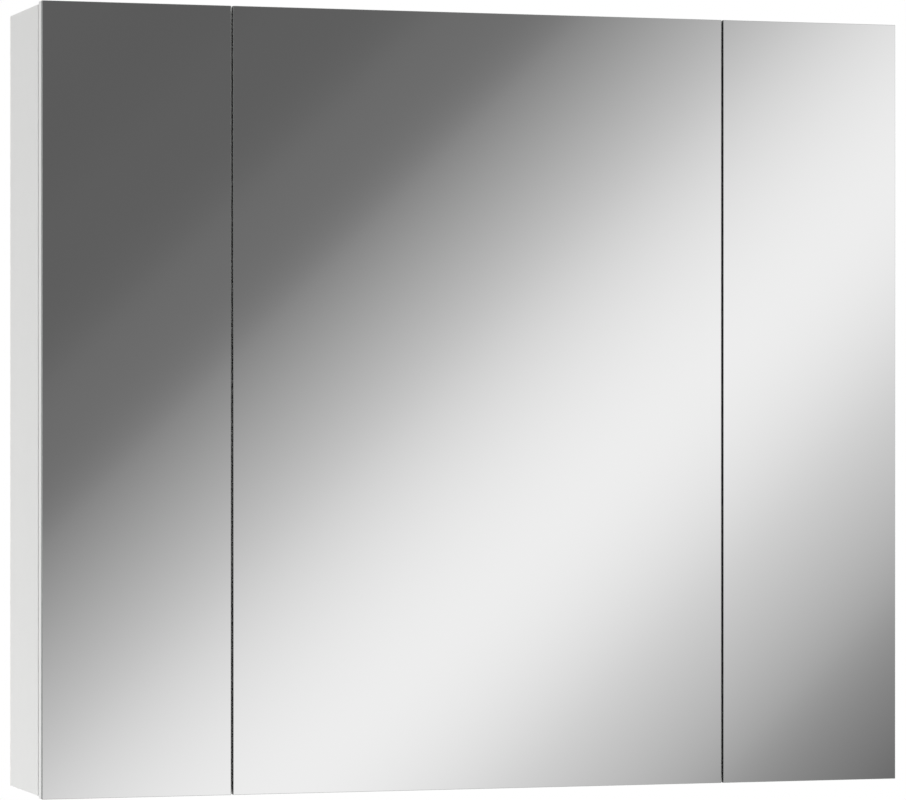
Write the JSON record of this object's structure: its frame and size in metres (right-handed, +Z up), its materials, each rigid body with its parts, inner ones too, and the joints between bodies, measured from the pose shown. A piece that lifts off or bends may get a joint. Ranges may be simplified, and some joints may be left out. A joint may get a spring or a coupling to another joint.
{
  "type": "mirror cabinet",
  "caption": "Wall-hung bathroom cabinet with narrow side doors and a wide centre door, all faced with mirror on concealed hinges, glass shelves inside.",
  "frame": {"origin": "on the wall plane, in the middle of the four screw holes of the two wall plates, 45 mm below the top of the body", "axes": "+Z up, +X to the right seen from the front, +Y into the wall; the doors face -Y"},
  "size_m": [0.8, 0.136, 0.694],
  "materials": {
    "white_board": "melamine-faced chipboard, satin white",
    "edge_band": "thin plastic edge band, satin white",
    "back_board": "lacquered hardboard, satin white",
    "door_board": "melamine-faced board, satin white",
    "adhesive_film": "double-sided foam film, matt",
    "mirror_glass": "silvered glass with ground edges",
    "shelf_glass": "clear float glass with polished edges",
    "nickel_plate": "nickel-plated pressed steel",
    "zinc_plate": "bright zinc-plated steel",
    "zinc_alloy": "die-cast zinc, as cast",
    "dark_steel": "hardened steel, oiled",
    "dowel_wood": "beech, plain",
    "white_plastic": "moulded plastic, fine satin",
    "soft_clear": "soft translucent plastic"
  },
  "bodies": {
    "root": {"left_side_panel": "white_board", "right_side_panel": "white_board", "top_panel": "white_board", "bottom_panel": "white_board", "left_partition": "white_board", "right_partition": "white_board", "edge_bands": "edge_band", "back_panel": "back_board", "left_shelves": "shelf_glass", "centre_shelves": "shelf_glass", "right_shelves": "shelf_glass", "shelf_pins": "nickel_plate", "shelf_pads": "soft_clear", "dowels": "dowel_wood", "cam_locks": "zinc_alloy", "cam_bolts": "zinc_plate", "partition_screws": "zinc_plate", "hanger_bodies": "white_plastic", "hanger_hooks": "zinc_plate", "hanger_screws": "zinc_plate", "hanger_covers": "white_plastic", "wall_plates": "zinc_plate", "door_bumpers": "soft_clear", "hinge_plates": "nickel_plate", "hinge_arms": "nickel_plate", "hinge_arm_pins": "dark_steel", "hinge_plate_screws": "nickel_plate", "hinge_arm_screws": "nickel_plate"},
    "left_door": {"left_door_board": "door_board", "left_adhesive": "adhesive_film", "left_mirror": "mirror_glass", "left_hinge_cups": "nickel_plate", "left_cup_screws": "nickel_plate", "left_closing_springs": "dark_steel"},
    "left_outer_link": {"left_outer_links": "nickel_plate"},
    "left_inner_link": {"left_inner_links": "nickel_plate"},
    "centre_door": {"centre_door_board": "door_board", "centre_adhesive": "adhesive_film", "centre_mirror": "mirror_glass", "centre_hinge_cups": "nickel_plate", "centre_cup_screws": "nickel_plate", "centre_closing_springs": "dark_steel"},
    "centre_outer_link": {"centre_outer_links": "nickel_plate"},
    "centre_inner_link": {"centre_inner_links": "nickel_plate"},
    "right_door": {"right_door_board": "door_board", "right_adhesive": "adhesive_film", "right_mirror": "mirror_glass", "right_hinge_cups": "nickel_plate", "right_cup_screws": "nickel_plate", "right_closing_springs": "dark_steel"},
    "right_outer_link": {"right_outer_links": "nickel_plate"},
    "right_inner_link": {"right_inner_links": "nickel_plate"}
  },
  "joints": [
    {"name": "left_door_swing", "type": "hinge", "parent": "root", "child": "left_door", "pos_m": [-0.3925, -0.1315, 0], "axis": [0, 0, -1], "range_deg": [0, 95]},
    {"name": "left_outer_link_turn", "type": "hinge", "parent": "root", "child": "left_outer_link", "pos_m": [-0.3663, -0.10681, 0], "axis": [0, 0, 1], "range_deg": [0, 19.15]},
    {"name": "left_inner_link_turn", "type": "hinge", "parent": "root", "child": "left_inner_link", "pos_m": [-0.36321, -0.11424, 0], "axis": [0, 0, 1], "range_deg": [0, 26.83]},
    {"name": "centre_door_swing", "type": "hinge", "parent": "root", "child": "centre_door", "pos_m": [-0.2215, -0.1315, 0], "axis": [0, 0, -1], "range_deg": [0, 95]},
    {"name": "centre_outer_link_turn", "type": "hinge", "parent": "root", "child": "centre_outer_link", "pos_m": [-0.1953, -0.10681, 0], "axis": [0, 0, 1], "range_deg": [0, 19.15]},
    {"name": "centre_inner_link_turn", "type": "hinge", "parent": "root", "child": "centre_inner_link", "pos_m": [-0.19221, -0.11424, 0], "axis": [0, 0, 1], "range_deg": [0, 26.83]},
    {"name": "right_door_swing", "type": "hinge", "parent": "root", "child": "right_door", "pos_m": [0.3925, -0.1315, 0], "axis": [0, 0, 1], "range_deg": [0, 95]},
    {"name": "right_outer_link_turn", "type": "hinge", "parent": "root", "child": "right_outer_link", "pos_m": [0.3663, -0.10681, 0], "axis": [0, 0, -1], "range_deg": [0, 19.15]},
    {"name": "right_inner_link_turn", "type": "hinge", "parent": "root", "child": "right_inner_link", "pos_m": [0.36321, -0.11424, 0], "axis": [0, 0, -1], "range_deg": [0, 26.83]}
  ],
  "couplings": [
    {"joint": "left_outer_link_turn", "follows": "left_door_swing", "ratio": 0.20051},
    {"joint": "left_inner_link_turn", "follows": "left_door_swing", "ratio": 0.28133},
    {"joint": "centre_outer_link_turn", "follows": "centre_door_swing", "ratio": 0.20051},
    {"joint": "centre_inner_link_turn", "follows": "centre_door_swing", "ratio": 0.28133},
    {"joint": "right_outer_link_turn", "follows": "right_door_swing", "ratio": 0.20051},
    {"joint": "right_inner_link_turn", "follows": "right_door_swing", "ratio": 0.28133}
  ]
}
